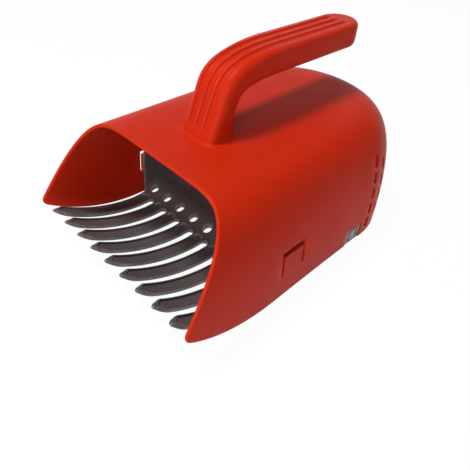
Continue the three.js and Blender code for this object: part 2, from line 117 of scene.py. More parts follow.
def plain_view(tree):
    """A factor of 1 for rays that see the backdrop itself: straight, reflected or through glass."""
    seen_by = tree.nodes.new("ShaderNodeLightPath")
    total = seen_by.outputs["Is Camera Ray"]
    for label in ("Is Glossy Ray", "Is Transmission Ray"):
        total = math_node(tree, "ADD", total, seen_by.outputs[label], clamp=True)
    return total


world = bpy.data.worlds.new("studio")
bpy.context.scene.world = world
world.use_nodes = True
world_tree = world.node_tree
world_tree.nodes.clear()
surround = add_node(world_tree, "ShaderNodeBackground", Color=(0.9, 0.92, 0.95, 1.0), Strength=0.16)
white = add_node(world_tree, "ShaderNodeBackground", Color=(1.0, 1.0, 1.0, 1.0), Strength=1.0)
backdrop = mix_shaders(world_tree, plain_view(world_tree), surround.outputs["Background"],
                       white.outputs["Background"])
add_node(world_tree, "ShaderNodeOutputWorld", Surface=backdrop)

# The floor is pale paper. The camera sees it nearly white, with a small share of its own shading, so
# that the rake's shadow stays.
PAPER_WHITE = 1.02
PAPER_WHITE_SHARE = 0.93
FLOOR_REACH = 3
FLOOR_GAP = 0.0004

corners = [(-FLOOR_REACH, -FLOOR_REACH, 0), (FLOOR_REACH, -FLOOR_REACH, 0),
           (FLOOR_REACH, FLOOR_REACH, 0), (-FLOOR_REACH, FLOOR_REACH, 0)]
floor_mesh = bpy.data.meshes.new("floor")
floor_mesh.from_pydata(corners, [], [(0, 1, 2, 3)])
floor = bpy.data.objects.new("floor", floor_mesh)
floor.location.z = -FLOOR_GAP
bpy.context.scene.collection.objects.link(floor)
paper = bpy.data.materials.new("white_paper")
paper.use_nodes = True
paper_tree = paper.node_tree
paper_tree.nodes.clear()
matt = add_node(paper_tree, "ShaderNodeBsdfPrincipled", Base_Color=(0.86, 0.86, 0.86, 1.0),
                Roughness=0.9)
glow = add_node(paper_tree, "ShaderNodeEmission", Strength=PAPER_WHITE)
glow_share = math_node(paper_tree, "MULTIPLY", plain_view(paper_tree), PAPER_WHITE_SHARE)
paper_look = mix_shaders(paper_tree, glow_share, matt.outputs["BSDF"], glow.outputs["Emission"])
add_node(paper_tree, "ShaderNodeOutputMaterial", Surface=paper_look)
floor_mesh.materials.append(paper)


# Hood
# A thin arched cover, injection moulded in red plastic with a satin skin. Its sides flare towards the
# raked mouth, its rims are rounded, and windows are left for the catches. Staggered slots let leaves
# and dirt fall out of its half-oval rear.

MM = 0.001
HOOD_FRONT = -115.2227
HOOD_SEAM = HOOD_FRONT + 168.1
HOOD_HALF = 71.1
HOOD_FLARE = 3.7
HOOD_REAR = 60.7
HOOD_TOP = 82.8
HOOD_RISE = 0.011
HOOD_WALL = 2.4
HOOD_RIM = 1.0
SIDE_POWER = 7.1
CROWN_POWER = 2.26
MOUTH_SETBACK = 40.1
MOUTH_LOW = 26.1
MOUTH_BEND = (31.3, 71.6)
MOUTH_CORNER = 5.3
MOUTH_RUN_ON = 0.1
SLED_RADIUS = 114.0
TAB_CENTRE = HOOD_FRONT + 86.8
TAB_WIDTH = 17.7
TAB_HEIGHT = 14.5
TAB_BOTTOM = 19.4
LEG_SLIT = 1.8
BAR_SLIT = 3.6
ROOT_SLIT = 0.4
NOTCH_CENTRE = HOOD_FRONT + 156.1
NOTCH_WIDTH = 17.0
NOTCH_HEIGHT = 13.5
VENT_COLUMNS = 17
VENT_ROWS = 5
VENT_SIZE = (4.2, 8.5)
VENT_CORNER = 0.9
VENT_PITCH = 12.2
VENT_BOTTOM = 6.5
VENT_START = math.radians(3)

# How closely the grid of the hood is laid: the distance between rows on the side, beside the windows,
# over the arch's bend and at the foot, and the distance between columns, which grows from the mouth.
ROW_STEP = 2.6
WINDOW_BAND = (17, 40)
WINDOW_STEP = 1.2
ARCH_BEND = (36, 62)
ARCH_BEND_STEP = 1.5
FOOT_STEP = 0.12
FOOT_SPREAD = 0.62
SIDE_SHARE = 0.72
COLUMN_SPREAD = 1.25
SIDE_COLUMNS = 46
REAR_COLUMNS = 84

# How far the cutters for windows and slots reach, how much the cut edges are softened, and from
# which angle on an edge counts as sharp.
WINDOW_REACH = (0.85, 1.1)
NOTCH_REACH = 5
VENT_REACH = 7.0
HOOD_SOFTEN = 0.18
SHARP_TURN = math.radians(50)


def hood_top(y):
    return HOOD_TOP + HOOD_RISE * (y - HOOD_FRONT - MOUTH_SETBACK)


def hood_half(y):
    """Half width of the hood at its foot, wider towards the mouth."""
    ahead = np.maximum(HOOD_SEAM - y, 0) / (HOOD_SEAM - HOOD_FRONT)
    return HOOD_HALF + HOOD_FLARE * ahead ** 2


def arch_reach(zeta):
    """Share of the half width that the arch still has at a share of its height."""
    return (1 - np.clip(zeta, 0, 1) ** CROWN_POWER) ** (1 / SIDE_POWER)


def quadratic(a, b, c, count):
    """Points on a quadratic curve from a to c, drawn towards b."""
    t = np.linspace(0, 1, count)[:, None]
    a, b, c = np.array(a), np.array(b), np.array(c)
    return a * (1 - t) ** 2 + 2 * b * t * (1 - t) + c * t ** 2


def mouth_outline():
    """Side view of the hood's front edge, drawn in by the rim, as heights and Y from foot to crown."""
    tangent = HOOD_FRONT + math.sqrt(SLED_RADIUS ** 2 - (SLED_RADIUS - MOUTH_LOW) ** 2)
    sweep = math.acos(1 - MOUTH_LOW / SLED_RADIUS) - MOUTH_CORNER / SLED_RADIUS
    angle = np.linspace(0, sweep, 60)
    sled = np.stack([tangent - SLED_RADIUS * np.sin(angle), SLED_RADIUS * (1 - np.cos(angle))], 1)
    corner = np.array([HOOD_FRONT, MOUTH_LOW])
    bend = np.array([HOOD_FRONT + MOUTH_BEND[0], MOUTH_BEND[1]])
    start = corner + (bend - corner) / np.linalg.norm(bend - corner) * MOUTH_CORNER
    crown = np.array([HOOD_FRONT + MOUTH_SETBACK, HOOD_TOP])
    nose = quadratic(sled[-1], corner, start, 16)
    rake = quadratic(start, bend, crown, 60)
    line = np.concatenate([sled, nose[1:], rake[1:], [crown + (crown - bend) * MOUTH_RUN_ON]])
    along = np.gradient(line, axis=0)
    along /= np.linalg.norm(along, axis=1, keepdims=True)
    line = line + HOOD_RIM * np.stack([along[:, 1], -along[:, 0]], 1)
    return line[:, 1], line[:, 0]


MOUTH_HEIGHTS, MOUTH_YS = mouth_outline()


def crown_section():
    """Half of the hood's arch in its own unit size, with rows close together where it bends or ends."""
    zeta = np.linspace(HOOD_RIM / HOOD_TOP, SIDE_SHARE, 4000)
    rho = np.linspace(arch_reach(SIDE_SHARE), 0, 2000)[1:]
    across = np.concatenate([arch_reach(zeta), rho])
    up = np.concatenate([zeta, (1 - rho ** SIDE_POWER) ** (1 / CROWN_POWER)])
    x, z = across * HOOD_HALF, up * HOOD_TOP
    step = np.hypot(np.diff(x), np.diff(z))
    height = (z[1:] + z[:-1]) / 2
    by_window = (height > WINDOW_BAND[0]) & (height < WINDOW_BAND[1])
    spacing = np.where(by_window, WINDOW_STEP, ROW_STEP)
    spacing = np.minimum(spacing, FOOT_STEP + FOOT_SPREAD * np.sqrt(height - HOOD_RIM))
    in_bend = (x[1:] > ARCH_BEND[0]) & (height > ARCH_BEND[1])
    spacing = np.where(in_bend, ARCH_BEND_STEP, spacing)
    load = np.concatenate([[0], np.cumsum(step / spacing)])
    rows = int(round(load[-1]))
    picked = np.interp(np.linspace(0, load[-1], rows + 1), load, np.arange(len(load)))
    index = np.round(picked).astype(int)
    return across[index], up[index]


def round_the_rear(x, y, rho, inset=0.0):
    """Carries the rows of the right side on round the half-oval rear and back along the left side."""
    turn = np.linspace(0, math.pi, REAR_COLUMNS + 1)[1:-1]
    rear_x = (HOOD_HALF - inset) * rho * np.cos(turn)
    rear_y = HOOD_SEAM + (HOOD_REAR - inset) * rho * np.sin(turn)
    return np.concatenate([x, rear_x, -x[:, ::-1]], 1), np.concatenate([y, rear_y, y[:, ::-1]], 1)


def hood_surface(rho, zeta):
    """The hood's outer surface as a grid, from each row's share of the half width and the height."""
    start = np.interp(HOOD_TOP * zeta, MOUTH_HEIGHTS, MOUTH_YS)
    rho, zeta, start = rho[:, None], zeta[:, None], start[:, None]
    y = start + (HOOD_SEAM - start) * np.linspace(0, 1, SIDE_COLUMNS + 1) ** COLUMN_SPREAD
    x, y = round_the_rear(hood_half(y) * rho, y, rho)
    return np.stack([x, y, hood_top(y) * zeta], 2)


def hood_normals(points, inset=0.0):
    """Outward normals of the hood's form, drawn in by inset, from its formula."""
    x, y, z = points[..., 0], points[..., 1], points[..., 2]
    top = hood_top(y) - inset
    half = hood_half(y) - inset
    depth = HOOD_REAR - inset
    back = np.maximum(y - HOOD_SEAM, 0) / depth
    ahead = np.maximum(HOOD_SEAM - y, 0) / (HOOD_SEAM - HOOD_FRONT) ** 2
    rho = np.hypot(x / half, back) + 1e-9
    slope = SIDE_POWER * rho ** (SIDE_POWER - 2)
    rise = CROWN_POWER * (z / top) ** CROWN_POWER / top
    nx = slope * x / half ** 2
    ny = slope * (back / depth + rho ** 2 * 2 * HOOD_FLARE * ahead / half) - HOOD_RISE * rise
    nz = CROWN_POWER * (z / top) ** (CROWN_POWER - 1) / top
    normal = np.stack([nx, ny, nz], 2)
    return normal / np.linalg.norm(normal, axis=2, keepdims=True)


def build_mesh(name, points, faces):
    """A Blender mesh from points in millimetres, with doubled points merged and faces pointing out."""
    mesh = bpy.data.meshes.new(name)
    mesh.from_pydata([tuple(p * MM) for p in points], [], faces)
    work = bmesh.new()
    work.from_mesh(mesh)
    bmesh.ops.remove_doubles(work, verts=work.verts, dist=0.02 * MM)
    bmesh.ops.dissolve_degenerate(work, edges=work.edges, dist=0.005 * MM)
    bmesh.ops.recalc_face_normals(work, faces=work.faces)
    work.to_mesh(mesh)
    work.free()
    return mesh


def add_piece(name, mesh, material, body, slot, *nodes, corner=40):
    """Puts a mesh in the scene in its material, lets it move with its body and stand for its solids.

    Its shading is smooth but for edges that turn by more than the corner's angle.
    """
    mesh.shade_smooth()
    mesh.set_sharp_from_angle(angle=math.radians(corner))
    mesh.materials.clear()
    mesh.materials.append(material)
    piece = bpy.data.objects.new(name, mesh)
    bpy.context.scene.collection.objects.link(piece)
    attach(piece, body)
    if nodes:
        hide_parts(*nodes)


def rim_frame(points, normals, loop):
    """Place, outward normal and direction off the sheet at each point of its border."""
    rows, columns = points.shape[:2]
    edge = np.array([points[i, j] for i, j in loop])
    out = np.array([normals[i, j] for i, j in loop])
    along = np.roll(edge, -1, 0) - np.roll(edge, 1, 0)
    side = np.cross(along, out)
    side /= np.linalg.norm(side, axis=1, keepdims=True)
    within = [points[min(max(i, 2), rows - 3), min(max(j, 3), columns - 4)] for i, j in loop]
    side *= -np.sign((side * (np.array(within) - edge)).sum(1))[:, None]
    return edge, out, side


def rim_rings(edge, out, side, wall, rim):
    """Rings of points that round a rim over from the outer to the inner face."""
    quarter = np.linspace(0, math.pi / 2, 5)
    rings = []
    for a in quarter:
        rings.append(edge - rim * side * (1 - math.sin(a)) - rim * (1 - math.cos(a)) * out)
    for a in quarter:
        rings.append(edge - rim * side * (1 - math.cos(a)) - (wall - rim * (1 - math.sin(a))) * out)
    return rings


def border_of(points):
    """Row and column of every grid point on the border, once round."""
    rows, columns = points.shape[:2]
    loop = [(0, j) for j in range(columns)]
    loop += [(i, columns - 1) for i in range(1, rows)]
    loop += [(rows - 1, j) for j in range(columns - 2, -1, -1)]
    loop += [(i, 0) for i in range(rows - 2, 0, -1)]
    return loop


def thick_sheet(name, points, wall, rim, loop=None, inset=0.0, drawn_in=0.0):
    """A sheet of even thickness, on a grid of points of the hood's form drawn in by inset.

    Its rounded rim stands drawn_in beyond the grid's border, or beyond the part of it in loop.
    """
    rows, columns = points.shape[:2]
    normals = hood_normals(points, inset)
    loop = loop or border_of(points)
    edge, out, side = rim_frame(points, normals, loop)
    rings = rim_rings(edge + drawn_in * side, out, side, wall, rim)
    outer = points.copy()
    inner = points - wall * normals
    for k, (i, j) in enumerate(loop):
        outer[i, j] = rings[0][k]
        inner[i, j] = rings[-1][k]
    count = rows * columns
    all_points = np.concatenate([outer.reshape(-1, 3), inner.reshape(-1, 3)] + rings[1:-1])
    faces = []
    for i in range(rows - 1):
        for j in range(columns - 1):
            a = i * columns + j
            b = a + columns
            faces.append((a, a + 1, b + 1, b))
            faces.append((count + a, count + b, count + b + 1, count + a + 1))
    size = len(loop)

    def ring_index(ring, k):
        i, j = loop[k % size]
        if ring == 0:
            return i * columns + j
        if ring == len(rings) - 1:
            return count + i * columns + j
        return 2 * count + (ring - 1) * size + k % size

    for ring in range(len(rings) - 1):
        for k in range(size):
            faces.append((ring_index(ring, k), ring_index(ring, k + 1),
                          ring_index(ring + 1, k + 1), ring_index(ring + 1, k)))
    return build_mesh(name, all_points, faces)


def block_mesh(name, low, high):
    """A cutter block between two corners, in millimetres."""
    work = bmesh.new()
    bmesh.ops.create_cube(work, size=1.0)
    low, high = Vector(low) * MM, Vector(high) * MM
    for vert in work.verts:
        vert.co = Vector([low[k] + (vert.co[k] + 0.5) * (high[k] - low[k]) for k in range(3)])
    mesh = bpy.data.meshes.new(name)
    work.to_mesh(mesh)
    work.free()
    return mesh


def prism_faces(count):
    """Faces of a prism whose first ring of count points is followed by the second."""
    faces = [tuple(range(count - 1, -1, -1)), tuple(range(count, 2 * count))]
    return faces + [(k, (k + 1) % count, count + (k + 1) % count, count + k) for k in range(count)]


def slot_cutter(centre, outward, size, corner, reach):
    """A cutter for an upright slot with rounded corners, pointing outward in plan."""
    across, up = size[0] / 2 - corner, size[1] / 2 - corner
    ring = []
    for quarter, (sx, sz) in enumerate(((1, 1), (-1, 1), (-1, -1), (1, -1))):
        for a in np.linspace(0, math.pi / 2, 4) + quarter * math.pi / 2:
            ring.append((sx * across + corner * math.cos(a), sz * up + corner * math.sin(a)))
    out = np.array([math.cos(outward), math.sin(outward), 0])
    side = np.array([-math.sin(outward), math.cos(outward), 0])
    points = [np.array(centre) + end * reach * out + u * side + np.array([0, 0, v])
              for end in (-1, 1) for u, v in ring]
    return build_mesh("slot", points, prism_faces(len(ring)))


def joined(name, meshes):
    """One mesh that holds several."""
    work = bmesh.new()
    for mesh in meshes:
        work.from_mesh(mesh)
        bpy.data.meshes.remove(mesh)
    mesh = bpy.data.meshes.new(name)
    work.to_mesh(mesh)
    work.free()
    return mesh


def round_edges(mesh, radius, segments):
    """Rounds the edges of a closed mesh where it turns sharply."""
    work = bmesh.new()
    work.from_mesh(mesh)
    sharp = [e for e in work.edges if e.is_manifold and e.calc_face_angle(0) > SHARP_TURN]
    bmesh.ops.bevel(work, geom=sharp, offset=radius * MM, segments=segments, profile=0.5,
                    affect="EDGES", clamp_overlap=True)
    work.to_mesh(mesh)
    work.free()


def cut_away(mesh, cutter, soften):
    """Cuts one mesh out of another and rounds the sharp edges by soften."""
    body = bpy.data.objects.new("work_body", mesh)
    tool = bpy.data.objects.new("work_tool", cutter)
    for item in (body, tool):
        bpy.context.scene.collection.objects.link(item)
    cut = body.modifiers.new("cut", "BOOLEAN")
    cut.operation = "DIFFERENCE"
    cut.solver = "EXACT"
    cut.object = tool
    bpy.context.view_layer.update()
    result = bpy.data.meshes.new_from_object(body.evaluated_get(bpy.context.evaluated_depsgraph_get()))
    for item in (body, tool):
        bpy.data.objects.remove(item)
    bpy.data.meshes.remove(mesh)
    bpy.data.meshes.remove(cutter)
    round_edges(result, soften, 2)
    return result


def new_group(name, inputs, outputs):
    """An empty shader node group with named inputs and outputs."""
    group = bpy.data.node_groups.new(name, "ShaderNodeTree")
    for label, value in inputs.items():
        socket = group.interface.new_socket(label, in_out="INPUT", socket_type="NodeSocketFloat")
        socket.default_value = value
    for label in outputs:
        group.interface.new_socket(label, in_out="OUTPUT", socket_type="NodeSocketFloat")
    return group, group.nodes.new("NodeGroupInput"), group.nodes.new("NodeGroupOutput")


def noise_node(tree, vector, scale, detail=2.0, roughness=0.5):
    """A noise pattern, with its scale in features to the metre."""
    node = add_node(tree, "ShaderNodeTexNoise", Vector=vector, Scale=scale, Detail=detail,
                    Roughness=roughness)
    return node.outputs["Fac"]


def map_range(tree, value, low, high):
    """Stretches low to high over 0 to 1, and holds it there outside."""
    node = add_node(tree, "ShaderNodeMapRange", Value=value, From_Min=low, From_Max=high)
    return node.outputs["Result"]


def mould_grain_group():
    """The fine skin of an eroded mould: a height for bump and a small change of roughness."""
    group, given, result = new_group(
        "mould_grain", {"Grain Scale": 2600.0, "Flow Scale": 60.0}, ["Height", "Roughness Change"])
    place = group.nodes.new("ShaderNodeTexCoord").outputs["Object"]
    grain = noise_node(group, place, given.outputs["Grain Scale"], 3.0, 0.6)
    flow = noise_node(group, place, given.outputs["Flow Scale"])
    fine = math_node(group, "MULTIPLY", grain, 0.75)
    soft = math_node(group, "MULTIPLY", flow, 0.25)
    group.links.new(math_node(group, "ADD", fine, soft), result.inputs["Height"])
    change = math_node(group, "SUBTRACT", flow, 0.5)
    group.links.new(change, result.inputs["Roughness Change"])
    return group


def wear_and_painted_light_group():
    """Masks for edges with a painted highlight and rubbed patches, and for hollows with painted shade.
    """
    group, given, result = new_group("wear_and_painted_light", {"Patch Scale": 90.0}, ["Edge", "Hollow"])
    turn = group.nodes.new("ShaderNodeNewGeometry").outputs["Pointiness"]
    place = group.nodes.new("ShaderNodeTexCoord").outputs["Object"]
    patches = noise_node(group, place, given.outputs["Patch Scale"], 3.0, 0.6)
    worn_and_lit = map_range(group, patches, 0.35, 0.7)
    # Convex edges get a painted highlight, in rubbed patches; concave hollows get painted shade.
    ridge = map_range(group, turn, 0.508, 0.56)
    group.links.new(math_node(group, "MULTIPLY", ridge, worn_and_lit), result.inputs["Edge"])
    group.links.new(map_range(group, turn, 0.492, 0.44), result.inputs["Hollow"])
    return group


def scuff_group():
    """Thin hair scratches, in the places where the rake is handled, as a mask."""
    group, given, result = new_group("scuffs", {"Scratch Scale": 110.0}, ["Scratch"])
    place = group.nodes.new("ShaderNodeTexCoord").outputs["Object"]
    stretch = add_node(group, "ShaderNodeMapping", Vector=place, Rotation=(0.3, 0.2, 0.7),
                       Scale=(1.0, 0.09, 1.0))
    streak = noise_node(group, stretch.outputs["Vector"], given.outputs["Scratch Scale"], 5.0, 0.75)
    line = map_range(group, streak, 0.655, 0.70)
    handled = map_range(group, noise_node(group, place, 14.0), 0.48, 0.72)
    group.links.new(math_node(group, "MULTIPLY", line, handled), result.inputs["Scratch"])
    return group


mould_grain = mould_grain_group()
wear_and_painted_light = wear_and_painted_light_group()
scuffs = scuff_group()


def mix_colour(tree, factor, first, second):
    """Mixes two colours, each a socket or a plain value."""
    node = tree.nodes.new("ShaderNodeMix")
    node.data_type = "RGBA"
    tree.links.new(factor, node.inputs["Factor"])
    for label, value in (("A", first), ("B", second)):
        fill(tree, node.inputs[label], (*value, 1.0) if isinstance(value, tuple) else value)
    return node.outputs["Result"]


def place_group(tree, group, **values):
    """Puts a node group in a material, with its own values."""
    node = tree.nodes.new("ShaderNodeGroup")
    node.node_tree = group
    for label, value in values.items():
        node.inputs[label.replace("_", " ")].default_value = value
    return node


# How strongly the shared effects show in both plastics.
DRIFT_SCALE = 22.0
HOLLOW_SHADE = 0.5
SCRATCH_TINT = 0.22
GRAIN_ROUGHNESS = 0.16
EDGE_POLISH = -0.08
SCRATCH_ROUGHNESS = 0.12
SCRATCH_DENT = -0.3
GRAIN_DEPTH = 0.25


def plastic(name, base, drift, worn_and_lit, shaded, roughness, grain_scale, bump, specular, edge_share):
    """A moulded plastic: its base and drifting colours, lit edges, shaded hollows, grain and scuffs."""
    material = bpy.data.materials.new(name)
    material.use_nodes = True
    tree = material.node_tree
    shader = tree.nodes["Principled BSDF"]
    place = tree.nodes.new("ShaderNodeTexCoord").outputs["Object"]
    grain = place_group(tree, mould_grain, Grain_Scale=grain_scale)
    wear_and_light = place_group(tree, wear_and_painted_light)
    scratch = place_group(tree, scuffs).outputs["Scratch"]

    def part(mask, share):
        return math_node(tree, "MULTIPLY", mask, share)

    cloud = map_range(tree, noise_node(tree, place, DRIFT_SCALE, 4.0, 0.55), 0.3, 0.7)
    colour = mix_colour(tree, cloud, base, drift)
    # Painted shade darkens the hollows. The lighter worn colour is a painted highlight on edges mixed
    # with rubbed wear, and real wear in the scratches.
    colour = mix_colour(tree, part(wear_and_light.outputs["Hollow"], HOLLOW_SHADE), colour, shaded)
    colour = mix_colour(tree, part(wear_and_light.outputs["Edge"], edge_share), colour, worn_and_lit)
    colour = mix_colour(tree, part(scratch, SCRATCH_TINT), colour, worn_and_lit)
    tree.links.new(colour, shader.inputs["Base Color"])
    rough = math_node(tree, "ADD", part(grain.outputs["Roughness Change"], GRAIN_ROUGHNESS), roughness)
    rough = math_node(tree, "ADD", rough, part(wear_and_light.outputs["Edge"], EDGE_POLISH))
    rough = math_node(tree, "ADD", rough, part(scratch, SCRATCH_ROUGHNESS), clamp=True)
    tree.links.new(rough, shader.inputs["Roughness"])
    height = math_node(tree, "ADD", grain.outputs["Height"], part(scratch, SCRATCH_DENT))
    relief = add_node(tree, "ShaderNodeBump", Strength=bump, Distance=GRAIN_DEPTH * MM, Height=height)
    tree.links.new(relief.outputs["Normal"], shader.inputs["Normal"])
    shader.inputs["Specular IOR Level"].default_value = specular
    return material


# The lighter worn colour is partly a painted highlight on edges, and the shaded colour is painted shade
# in hollows.
red_plastic = plastic(
    "red_plastic", base=(0.56, 0.022, 0.003), drift=(0.51, 0.018, 0.002), worn_and_lit=(0.68, 0.06, 0.025),
    shaded=(0.34, 0.004, 0.002), roughness=0.42, grain_scale=2600.0, bump=0.10, specular=0.07,
    edge_share=0.55)


def hood_windows():
    """Cutters for the tongues' windows, the notches in the bottom rim and the slots in the rear."""
    cutters = []
    reach = TAB_WIDTH / 2 + LEG_SLIT
    for side in (-1, 1):
        near, far = sorted(side * HOOD_HALF * share for share in WINDOW_REACH)
        cutters.append(block_mesh("tab_window", (near, TAB_CENTRE - reach, TAB_BOTTOM - ROOT_SLIT),
                                  (far, TAB_CENTRE + reach, TAB_BOTTOM + TAB_HEIGHT + BAR_SLIT)))
        cutters.append(block_mesh("rim_notch", (near, NOTCH_CENTRE - NOTCH_WIDTH / 2, -NOTCH_REACH),
                                  (far, NOTCH_CENTRE + NOTCH_WIDTH / 2, NOTCH_HEIGHT)))
    half, rear = HOOD_HALF - HOOD_WALL / 2, HOOD_REAR - HOOD_WALL / 2
    for column in range(VENT_COLUMNS):
        angle = VENT_START + (math.pi - 2 * VENT_START) * column / (VENT_COLUMNS - 1)
        outward = math.atan2(half * math.sin(angle), rear * math.cos(angle))
        for row in range(VENT_ROWS - column % 2):
            height = VENT_BOTTOM + VENT_SIZE[1] / 2 + (row + column % 2 / 2) * VENT_PITCH
            rho = float(arch_reach(height / HOOD_TOP))
            centre = (half * rho * math.cos(angle), HOOD_SEAM + rear * rho * math.sin(angle), height)
            cutters.append(slot_cutter(centre, outward, VENT_SIZE, VENT_CORNER, VENT_REACH))
    return joined("hood_windows", cutters)


hood_points = hood_surface(*crown_section())
last_row, last_column = hood_points.shape[0] - 1, hood_points.shape[1] - 1
hood_edge = [(i, 0) for i in range(last_row + 1)]
hood_edge += [(i, last_column) for i in range(last_row - 1, -1, -1)]
hood_edge += [(0, j) for j in range(last_column - 1, 0, -1)]
hood_mesh = thick_sheet("hood", hood_points, HOOD_WALL, HOOD_RIM, hood_edge, drawn_in=HOOD_RIM)
hood_mesh = cut_away(hood_mesh, hood_windows(), HOOD_SOFTEN)
add_piece("hood_cover", hood_mesh, red_plastic, "hood", "hood_plastic", "hood_shell")


# Hood tongues
# Each is the piece of the hood's side left standing inside a three-sided slit, free at its top, so it
# springs over the tray's ear. It is the same red moulding and bends at its root.

TAB_RIM = 0.15
TAB_FREE = 0.25
TAB_SINK = 0.15
TAB_COLUMNS = 17
TAB_ROWS = 15


def tongue_face(side):
    """The hood's side where a tongue stands, as a grid of points, rows from low to high."""
    half = TAB_WIDTH / 2 - TAB_FREE
    y, z = np.meshgrid(
        np.linspace(TAB_CENTRE - half, TAB_CENTRE + half, TAB_COLUMNS),
        np.linspace(TAB_BOTTOM - TAB_SINK, TAB_BOTTOM + TAB_HEIGHT - TAB_FREE, TAB_ROWS))
    return np.stack([side * hood_half(y) * arch_reach(z / hood_top(y)), y, z], 2)


for side, label in ((1, "right"), (-1, "left")):
    tab_mesh = thick_sheet("hood_tab_" + label, tongue_face(side), HOOD_WALL, TAB_RIM)
    add_piece("hood_tongue_" + label, tab_mesh, red_plastic, "hood_tab_" + label, "hood_plastic",
              "hood_tab_" + label)


# Handle
# A leaning post that turns into an open-ended grip, one red moulding bonded to the hood by its foot.
# Three shallow flutes run up the post's front and along the grip's top. Its end is round in plan.

GRIP_HALF = 13.5
GRIP_TOP = 127.2
GRIP_UNDER = 112.2
GRIP_END = HOOD_FRONT + 206.4
GRIP_END_DEPTH = 15.0
FOOT_FRONT = HOOD_FRONT + 68.8
FOOT_BACK = HOOD_FRONT + 89.8
FOOT_LEDGE = 3.7
FOOT_SINK = 0.3
FOOT_FILLET = 1.3
POST_LEAN = 11.3
POST_HEIGHT = 27.7
POST_TAPER = 1.5
POST_ROUND = 4.9
GRIP_ROUND = 3.4
ROUND_CHANGE = (-8, 14)
UNDER_ROUND = 2.6
END_ROUND = 6.0
FLUTE_PITCH = 6.2
FLUTE_HALF = 2.1
FLUTE_DEPTH = 1.3
FLUTE_START = 0.6
FLUTE_RUNOUT = 3.0

# The shoulder's two curves: how far their control points lie from the bend, the grip and the post's
# back, and how the inner one is stretched to keep level with the outer one.
SHOULDER = 47.0
SHOULDER_LEAVE = (5.0, 11.3)
SHOULDER_ARRIVE = (17.0, -0.5)
UNDER_LEAVE = (-3, -10)
UNDER_TURN = 3
UNDER_ARRIVE = 15
UNDER_STRETCH = 16
UNDER_SPLIT = 0.42


def cubic(a, b, c, d, t):
    """Points on a cubic curve at the given shares of the way."""
    t = np.asarray(t)[:, None]
    a, b, c, d = (np.array(p, float) for p in (a, b, c, d))
    return a * (1 - t) ** 3 + 3 * b * t * (1 - t) ** 2 + 3 * c * t ** 2 * (1 - t) + d * t ** 3


def straight(a, b, t):
    """Points on a straight line at the given shares of the way."""
    t = np.asarray(t)[:, None]
    return np.array(a, float) * (1 - t) + np.array(b, float) * t


FOOT_STATIONS = np.array([0, 0.06, 0.12, 0.2, 0.3, 0.42, 0.6, 0.8, 1])
POST_STATIONS = np.linspace(0, 1, 12)[1:]
SHOULDER_STATIONS = np.linspace(0, 1, 34)[1:]
GRIP_STATIONS = np.linspace(0, 1, 30)[1:]
END_STATIONS = np.sin(np.linspace(0, math.pi / 2, 18)[1:])


def outer_line():
    """Side view of the handle's front and top, from foot to grip end."""
    foot_top = hood_top(FOOT_FRONT)
    foot = (FOOT_FRONT, foot_top - FOOT_SINK)
    ledge = (FOOT_FRONT + POST_LEAN * FOOT_LEDGE / POST_HEIGHT, foot_top + FOOT_LEDGE)
    bend = (FOOT_FRONT + POST_LEAN, foot_top + POST_HEIGHT)
    leave = (bend[0] + SHOULDER_LEAVE[0], bend[1] + SHOULDER_LEAVE[1])
    arrive = (bend[0] + SHOULDER_ARRIVE[0], GRIP_TOP + SHOULDER_ARRIVE[1])
    grip = (bend[0] + SHOULDER, GRIP_TOP)
    turn = (GRIP_END - GRIP_END_DEPTH, GRIP_TOP)
    return np.concatenate([
        straight(foot, ledge, FOOT_STATIONS),
        straight(ledge, bend, POST_STATIONS),
        cubic(bend, leave, arrive, grip, SHOULDER_STATIONS),
        straight(grip, turn, GRIP_STATIONS),
        straight(turn, (GRIP_END, GRIP_TOP), END_STATIONS)])


def inner_line():
    """Side view of the handle's back and underside, in step with the outer line."""
    foot = (FOOT_BACK, hood_top(FOOT_BACK) - FOOT_SINK)
    ledge = (FOOT_BACK - POST_TAPER, hood_top(FOOT_FRONT) + FOOT_LEDGE)
    leave = (FOOT_BACK + UNDER_LEAVE[0], GRIP_UNDER + UNDER_LEAVE[1])
    turned = (FOOT_BACK + UNDER_TURN, GRIP_UNDER)
    curve = (ledge, leave, turned, (FOOT_BACK + UNDER_ARRIVE, GRIP_UNDER))
    around = cubic(*curve, UNDER_SPLIT + SHOULDER_STATIONS * (1 - UNDER_SPLIT))
    around[:, 0] += SHOULDER_STATIONS ** 3 * UNDER_STRETCH
    grip = (FOOT_BACK + UNDER_ARRIVE + UNDER_STRETCH, GRIP_UNDER)
    turn = (GRIP_END - GRIP_END_DEPTH, GRIP_UNDER)
    return np.concatenate([
        straight(foot, ledge, FOOT_STATIONS),
        cubic(*curve, POST_STATIONS * UNDER_SPLIT),
        around,
        straight(grip, turn, GRIP_STATIONS),
        straight(turn, (GRIP_END, GRIP_UNDER), END_STATIONS)])


def foot_flare(outer):
    """How far the fillet at the handle's foot stands out at each station."""
    short = np.clip(FOOT_FILLET - (outer[:, 1] - hood_top(FOOT_FRONT)), 0, FOOT_FILLET)
    return FOOT_FILLET - np.sqrt(FOOT_FILLET ** 2 - short ** 2)


def flute_depth(x):
    """Depth of the flutes across the handle, as a share of the full depth."""
    near = np.abs(np.abs(x) - FLUTE_PITCH)
    near = np.minimum(near, np.abs(x))
    return np.sqrt(np.maximum(1 - (near / FLUTE_HALF) ** 2, 0))


